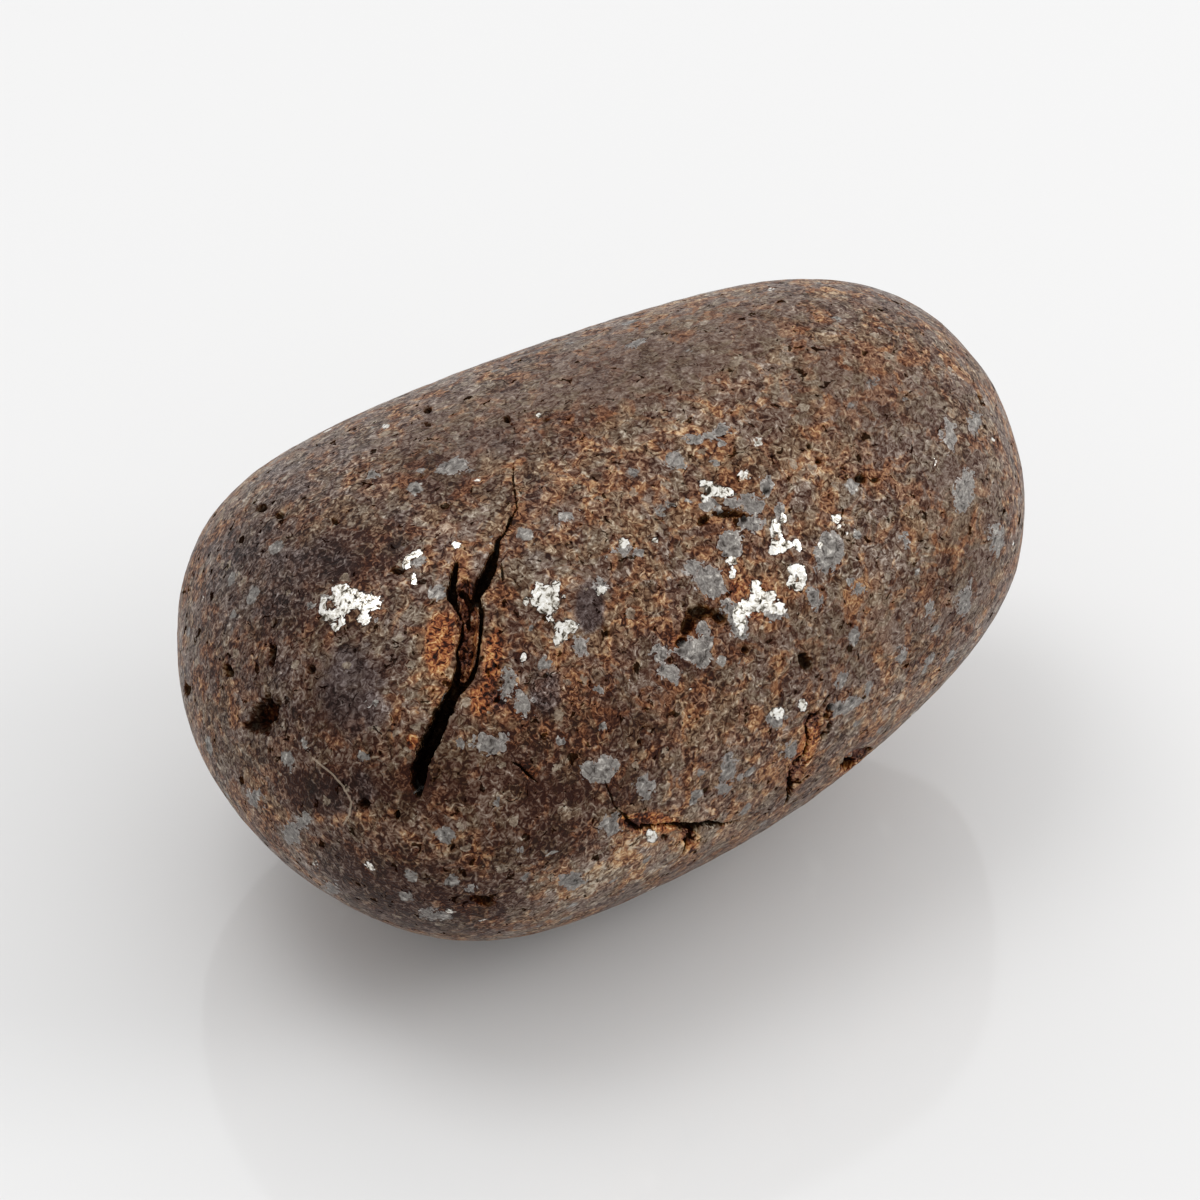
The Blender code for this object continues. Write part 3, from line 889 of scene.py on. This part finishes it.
colours = {
    name: add_node(tree, "ShaderNodeValToRGB", {}, {"Fac": tone}, tuple(zip(TONE_STOPS, row)))
    for name, row in MINERALS.items()
}
rust_spots = add_node(tree, MAP_RANGE, SMOOTH_STEP, {
    "Value": pattern["rust spot"], "From Min": 0.45, "From Max": 0.62, "To Max": 0.52,
})
# From patch to patch the colour also wanders to orange and to olive.
tint = add_node(tree, "ShaderNodeSeparateColor", {}, {"Color": pattern["tint"].outputs["Color"]})
tint_share = {}
for name, channel, strongest in (("orange", "Red", 0.80), ("olive", "Green", 0.60)):
    tint_share[name] = add_node(tree, MAP_RANGE, SMOOTH_STEP, {
        "Value": tint.outputs[channel], "From Min": 0.47, "From Max": 0.58, "To Max": strongest,
    })
# Less rust shows in the painted shade and under the painted sheen.
for part, weight in (
    (field["rust_zone"], 1.0), (tint_share["orange"], 1.0), (field["painted_shade_zone"], -0.3),
    (field["smooth_and_sheen_zone"], -0.5),
):
    rust_spots = add_node(tree, MATH, MULTIPLY_ADD, {0: part, 1: weight, 2: rust_spots})
rust_share = add_node(tree, MATH, {"operation": "MULTIPLY_ADD", "use_clamp": True}, {
    0: field["slate_zone"], 1: -0.5, 2: rust_spots,
})
slate_spots = add_node(tree, MATH, MULTIPLY_ADD, {
    0: pattern["slate spot"], 1: 1.6, 2: field["slate_zone"],
})
slate_share = add_node(tree, MAP_RANGE, SMOOTH_STEP, {
    "Value": slate_spots, "From Min": 1.10, "From Max": 1.95, "To Max": 0.85,
})
fresh_share = add_node(tree, MAP_RANGE, SMOOTH_STEP, {
    "Value": field["rust_zone"], "From Min": 0.62, "From Max": 0.95,
})
stone_colour = colours["brown"]
for share, name in (
    (rust_share, "orange"), (tint_share["olive"], "olive"), (slate_share, "slate"),
    (fresh_share, "fresh rust"), (field["rubble"], "rubble"),
):
    stone_colour = add_node(tree, "ShaderNodeMix", {"data_type": "RGBA"}, {
        0: share, 6: stone_colour, 7: colours[name],
    })
print("nodes so far:", len(tree.nodes))

# %% [markdown]
# Metal in the stone.
#
# The fields carried by the mesh say how far each point lies inside a grain of metal, in millimetres. Adding
# fine noise to that distance before cutting it off gives the ragged rim that metal has between mineral
# grains. A thin dark line rings each grain, which is the same distance cut off a little further out: it is
# painted shade in the gap round the metal. Bright metal is nickel-iron, painted pale and nearly white as a
# painted glint of the lamp in the polished metal. Grey metal is a dull neutral grey, partly tarnish and
# partly the same metal painted in shade, and a pale painted highlight runs along its rim. Metal takes its
# colour from what it reflects, so both are Metallic in the shader. The index of refraction set below is for
# the minerals, and what metal reflects doesn't depend on it.

# %% Masks of the metal and of the cracks
TORN_WEIGHTS = ((pattern["torn edge"], 0.50), (pattern["fine edge"], 0.09))
torn = -sum(weight / 2 for _, weight in TORN_WEIGHTS)
for part, weight in TORN_WEIGHTS:
    torn = add_node(tree, MATH, MULTIPLY_ADD, {0: part, 1: weight, 2: torn})
# Each mask: the distance it reads, how torn its edge is, and where in mm it starts and is full.
MASKS = {
    "bright": ("bright_metal", 0.75, -0.030, -0.012),
    "grey": ("grey_metal", 1.35, -0.014, 0.002),
    "grey middle": ("grey_metal", 1.35, 0.006, 0.035),
    # The two rings are dark lines painted as shade in the gap round each grain of metal.
    "bright shade ring": ("bright_metal", 0.75, -0.072, -0.034),
    "grey shade ring": ("grey_metal", 1.35, -0.045, -0.014),
    "crack": ("crack_inside", 0.22, -0.010, 0.014),
    "pale line": ("pale_line", 0.10, -0.040, -0.018),
}
mask = {}
for name, (distance, raggedness, start, full) in MASKS.items():
    edge = add_node(tree, MATH, MULTIPLY_ADD, {0: torn, 1: raggedness, 2: field[distance]})
    mask[name] = add_node(tree, MAP_RANGE, SMOOTH_STEP, {
        "Value": edge, "From Min": start, "From Max": full,
    })
print("masks:", list(mask))

# %% [markdown]
# Specks.
#
# Between the large grains the stone has hundreds of specks that no list could hold: pinpoints of bright
# metal, dull grey metal, pale mineral and open pores, which are painted black as shade in holes too small
# for the mesh. A Voronoi pattern has one middle per cell, so the points near a middle are a speck, and
# keeping only some of the cells leaves them scattered.


# %% Scattered specks
def flecks(cell_mm, reach, keep):
    """One speck in each kept cell of a Voronoi pattern, with a torn rim."""
    cells = add_node(tree, "ShaderNodeTexVoronoi", {}, {"Vector": place, "Scale": MM_PER_M / cell_mm})
    chance = add_node(tree, "ShaderNodeSeparateColor", {}, {"Color": cells.outputs["Color"]})
    kept = add_node(tree, MATH, {"operation": "LESS_THAN"}, {0: chance, 1: keep})
    edge = add_node(tree, MATH, MULTIPLY_ADD, {0: torn, 1: 1 / cell_mm, 2: cells})
    inside = add_node(tree, MAP_RANGE, SMOOTH_STEP, {
        "Value": edge, "From Min": reach + 0.03, "From Max": reach - 0.03,
    })
    return add_node(tree, MATH, MULTIPLY, {0: inside, 1: kept})


# A pale painted highlight along the rim of grey metal.
mask["grey rim"] = add_node(tree, MATH, CLAMPED_SUBTRACT, {0: mask["grey"], 1: mask["grey middle"]})
mask["pale"] = flecks(0.50, 0.26, 0.10)
# Pores and voids are painted near black: painted shade in tiny holes.
mask["pore"] = flecks(0.55, 0.20, 0.10)
voids = add_node(tree, MAP_RANGE, SMOOTH_STEP, {
    "Value": pattern["void"], "From Min": 0.65, "From Max": 0.69,
})
for name, more in (
    ("bright", flecks(0.9, 0.16, 0.06)), ("grey", flecks(1.0, 0.26, 0.09)),
    ("grey", flecks(0.6, 0.24, 0.05)), ("pore", voids),
):
    mask[name] = add_node(tree, MATH, MAXIMUM, {0: mask[name], 1: more})
print("nodes so far:", len(tree.nodes))

# %% [markdown]
# Laying the finishes over each other.
#
# The finishes cover one another as on the stone: pale mineral and open pores in the matrix, the pores
# painted black as shade, then the dark line of painted shade round the metal, the metal itself, and last the
# dark of cracks and pits, which lies over everything: partly dirt, partly painted shade in the hollows.

# %% Colour, layer by layer
METALS = {
    "pale": ((0.30, "#54463a"), (0.50, "#8f7f6c"), (0.75, "#c9bcaa")),
    # Grey metal: partly tarnish, partly the metal painted in shade. Bright metal: nearly white, a painted
    # glint.
    "grey": ((0.32, "#3a3531"), (0.40, "#645e5a"), (0.52, "#7f7a75"), (0.62, "#96918b"), (0.74, "#cbc6be")),
    "bright": ((0.34, "#352f27"), (0.41, "#958e82"), (0.49, "#e2ded5"), (0.70, "#fcfbf8")),
}
for name, stops in METALS.items():
    colours[name] = add_node(tree, "ShaderNodeValToRGB", {}, {"Fac": pattern["metal"]}, stops)
# Cracks and pits are painted near black: partly dirt, partly painted shade in the hollows.
dark = add_node(tree, MATH, MULTIPLY, {0: field["pit"], 1: 0.90})
dark = add_node(tree, MATH, MAXIMUM, {0: dark, 1: mask["crack"]})
# Pores are painted black as shade in tiny holes, the rings round the metal are painted shade, the rim of
# grey metal is a painted highlight, and the dark of cracks and pits is partly dirt, partly painted shade.
LAYERS = (
    (mask["pale"], 0.7, colours["pale"]),
    (mask["pore"], 0.85, linear("#0c0604")),
    (mask["bright shade ring"], 0.8, linear("#180d09")),
    (mask["grey shade ring"], 0.40, linear("#180d09")),
    (mask["grey"], 1.0, colours["grey"]),
    (mask["grey rim"], 0.40, linear("#b3a9a5")),
    (mask["bright"], 1.0, colours["bright"]),
    (dark, 0.93, linear("#0d0806")),
    (mask["pale line"], 0.6, linear("#ab9a86")),
)
colour = stone_colour
for share, strength, layer in LAYERS:
    share = add_node(tree, MATH, MULTIPLY, {0: share, 1: strength})
    colour = add_node(tree, "ShaderNodeMix", {"data_type": "RGBA"}, {0: share, 6: colour, 7: layer})
print("layers:", len(LAYERS))

# %% [markdown]
# Polish and fine relief.
#
# The tumbler gave the stone a satin polish. Only the tops of the grains are polished: the low gaps between
# them are dull and reflect nothing, and that is why the stone looks deep brown and not grey under a bright
# sky. So the specular level follows the tone. Rust and dirt are rougher, and metal is smoother. The relief
# of the grains is only 0.05 mm, too fine for the mesh, so it is bump.

# %% How metallic, rough and shiny each grain is
metallic = add_node(tree, MATH, MULTIPLY, {0: mask["grey"], 1: 0.55})
metallic = add_node(tree, MATH, MAXIMUM, {0: metallic, 1: mask["bright"]})
metallic = add_node(tree, MATH, CLAMPED_SUBTRACT, {0: metallic, 1: dark})
shine = add_node(tree, MAP_RANGE, SMOOTH_STEP, {
    "Value": tone, "From Min": 0.10, "From Max": 0.80, "To Min": 0.10, "To Max": 0.62,
})
for part in (mask["pore"], dark):
    shine = add_node(tree, MATH, CLAMPED_SUBTRACT, {0: shine, 1: part})
roughness = 0.38
for part, weight in ((rust_share, 0.14), (mask["bright"], -0.12), (dark, 0.4)):
    roughness = add_node(tree, MATH, MULTIPLY_ADD, {0: part, 1: weight, 2: roughness})
relief = 0.0
for part, weight in ((pattern["grain"], 1.0), (pattern["cluster"], 0.6), (threads, 0.12), (voids, -0.6)):
    relief = add_node(tree, MATH, MULTIPLY_ADD, {0: part, 1: weight, 2: relief})
RELIEF_MM = 0.05
# Metal is smoother than the minerals round it, so its relief is weaker.
bump_strength = add_node(tree, MATH, MULTIPLY_ADD, {0: metallic, 1: -0.5, 2: 0.8})
bump = add_node(tree, "ShaderNodeBump", {}, {
    "Strength": bump_strength, "Distance": RELIEF_MM * MM, "Height": relief,
})
stone_shader = add_node(tree, "ShaderNodeBsdfPrincipled", {}, {
    "Base Color": colour, "Metallic": metallic, "Roughness": roughness, "Specular IOR Level": shine,
    "Normal": bump, "IOR": 1.52,
})
add_node(tree, "ShaderNodeOutputMaterial", {}, {"Surface": stone_shader})
stone_mesh.materials.clear()
stone_mesh.materials.append(chondrite)
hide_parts("meteorite")
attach(stone, "root")
print("nodes in the material:", len(tree.nodes))

# %% [markdown]
# The floor.
#
# The stone lies on a white glossy board, which shows a faint reflection of its underside and takes soft
# shadows. The board is only a stage, and isn't part of the object.

# %% A glossy white floor
FLOOR_SIZE = 1.6
bm = bmesh.new()
bmesh.ops.create_grid(bm, x_segments=1, y_segments=1, size=FLOOR_SIZE / 2)
floor_mesh = bpy.data.meshes.new("floor")
bm.to_mesh(floor_mesh)
bm.free()
floor = bpy.data.objects.new("floor", floor_mesh)
bpy.context.scene.collection.objects.link(floor)
board = bpy.data.materials.new("white gloss laminate")
board.use_nodes = True
board_shader = board.node_tree.nodes["Principled BSDF"]
board_shader.inputs["Base Color"].default_value = linear("#e6e6e6")
board_shader.inputs["Roughness"].default_value = 0.08
board_shader.inputs["IOR"].default_value = 1.5
floor_mesh.materials.append(board)
print("floor, m:", FLOOR_SIZE)

# %% [markdown]
# The light.
#
# A pale room with one broad soft lamp overhead and another on the right. The broad lamp stands where
# the bright metal high on the front mirrors it towards the camera, and its size gives the soft shadows.


# %% Soft lamps and the pale room
LAMP_AIM_HEIGHT = 8


def soft_lamp(name, position_mm, size_mm, watts, colour):
    lamp = bpy.data.lights.new(name, "AREA")
    lamp.shape = "SQUARE"
    lamp.size = size_mm * MM
    lamp.energy = watts
    lamp.color = linear(colour)[:3]
    obj = bpy.data.objects.new(name, lamp)
    bpy.context.scene.collection.objects.link(obj)
    position = Vector(position_mm) * MM
    aim = Vector((0, 0, LAMP_AIM_HEIGHT)) * MM - position
    obj.matrix_world = Matrix.Translation(position) @ aim.to_track_quat("-Z", "Y").to_matrix().to_4x4()


soft_lamp("overhead lamp", (-82, 84, 330), 160, 0.225, "#ffffff")
soft_lamp("right lamp", (270, -131, 170), 150, 0.31, "#ffffff")
room = bpy.data.worlds.new("pale room")
room.use_nodes = True
room_tree = room.node_tree
# The room is bright behind, above and to the right, and dimmer in front on the left.
direction = add_node(room_tree, "ShaderNodeTexCoord", {}, {}).outputs["Generated"]
dim_side = add_node(room_tree, "ShaderNodeVectorMath", {"operation": "DOT_PRODUCT"}, {
    0: direction, 1: (-0.80, -0.60, 0.0),
})
brightness = add_node(room_tree, MAP_RANGE, SMOOTH_STEP, {
    "Value": dim_side.outputs["Value"], "From Min": -0.2, "From Max": 0.7, "To Min": 1.10, "To Max": 0.74,
})
room_tree.nodes["Background"].inputs["Color"].default_value = linear("#f3f3f3")
room_tree.links.new(brightness.outputs["Result"], room_tree.nodes["Background"].inputs["Strength"])
bpy.context.scene.world = room
bpy.context.scene.view_settings.view_transform = "Standard"
